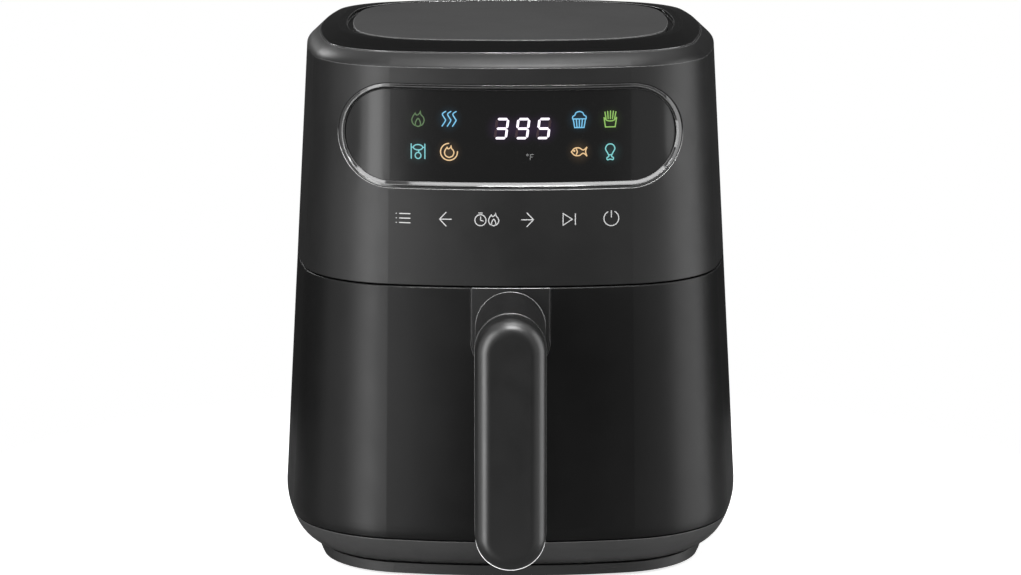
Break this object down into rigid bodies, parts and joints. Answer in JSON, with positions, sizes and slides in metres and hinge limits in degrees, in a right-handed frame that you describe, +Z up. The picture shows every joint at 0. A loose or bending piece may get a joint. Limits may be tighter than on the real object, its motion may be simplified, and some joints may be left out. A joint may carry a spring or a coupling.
{
  "type": "air fryer",
  "caption": "Basket air fryer: tapered rounded body, display on the front, pull-out drawer with a pan and a crisper plate, heater and fan above it.",
  "frame": {"origin": "on the surface it stands on, under the middle of the whole object with its handle", "axes": "+Z up, -Y towards the drawer and its handle, +X to the right as seen by the user behind the drawer's handle"},
  "size_m": [0.2508, 0.3188, 0.286],
  "materials": {
    "body_black": "fine matte texture",
    "base_black": "satin",
    "plinth_black": "matte",
    "rubber_black": "matte",
    "gloss_black": "high gloss",
    "lens_black": "high gloss",
    "plate_grey": "fine matte",
    "handle_black": "satin",
    "trim_chrome": "polished",
    "steel": "rolled sheet",
    "screw_steel": "bright zinc",
    "reflector_alloy": "bright sheet",
    "element_steel": "oxidised",
    "terminal_white": "fired clay",
    "seal_grey": "matte",
    "stator_iron": "lacquered sheets",
    "winding_copper": "enamelled wire",
    "bush_bronze": "sintered",
    "board_green": "solder mask",
    "component_black": "moulded",
    "guide_white": "milky",
    "grille_black": "matte",
    "nonstick_grey": "coated sheet, satin",
    "liner_grey": "matte",
    "magnet_grey": "sintered",
    "silicone_grey": "soft matte"
  },
  "bodies": {
    "housing": {"base_deck": "plinth_black", "base_pan": "base_black", "board_screws": "screw_steel", "bridge_screws": "screw_steel", "chamber": "steel", "chamber_screws": "screw_steel", "chamber_seal": "seal_grey", "control_board": "board_green", "cord_gland": "grille_black", "display_bezel": "gloss_black", "display_lens": "lens_black", "drawer_sensor": "component_black", "element_clips": "steel", "element_terminals": "terminal_white", "exhaust_duct": "reflector_alloy", "exhaust_grille": "grille_black", "grille_screws": "screw_steel", "heater_guard": "steel", "heating_element": "element_steel", "led_module": "component_black", "light_guides": "guide_white", "main_housing": "body_black", "motor_bridge": "steel", "motor_bushes": "bush_bronze", "motor_lower_bracket": "steel", "motor_screws": "screw_steel", "motor_stator": "stator_iron", "motor_upper_bracket": "steel", "motor_winding": "winding_copper", "pan_runners": "steel", "plinth": "plinth_black", "plinth_screws": "screw_steel", "power_board": "board_green", "power_components": "component_black", "reflector": "reflector_alloy", "rubber_feet": "rubber_black", "temperature_sensor": "reflector_alloy", "thermal_fuse": "component_black", "top_cover": "gloss_black", "top_plate": "plate_grey", "touch_pads": "bush_bronze"},
    "drawer": {"drawer_front": "body_black", "drawer_liner": "liner_grey", "pan": "nonstick_grey", "pan_mounts": "liner_grey", "handle_bracket": "body_black", "handle_back": "handle_black", "handle_trim": "trim_chrome", "handle_grip": "handle_black", "handle_screws": "screw_steel", "drawer_magnet": "magnet_grey"},
    "crisper": {"crisper_plate": "nonstick_grey", "crisper_feet": "silicone_grey"},
    "fan_rotor": {"motor_shaft": "screw_steel", "motor_rotor": "stator_iron", "hot_air_fan": "reflector_alloy", "fan_nut": "screw_steel", "cooling_fan": "guide_white"}
  },
  "joints": [
    {"name": "drawer_slide", "type": "slide", "parent": "housing", "child": "drawer", "axis": [0, -1, 0], "range_m": [0, 0.25]},
    {"name": "crisper_lift", "type": "slide", "parent": "drawer", "child": "crisper", "axis": [0, 0, 1], "range_m": [0, 0.118]},
    {"name": "fan_spin", "type": "hinge", "parent": "housing", "child": "fan_rotor", "pos_m": [0, 0.02726, 0.2], "axis": [0, 0, 1], "continuous": true}
  ]
}
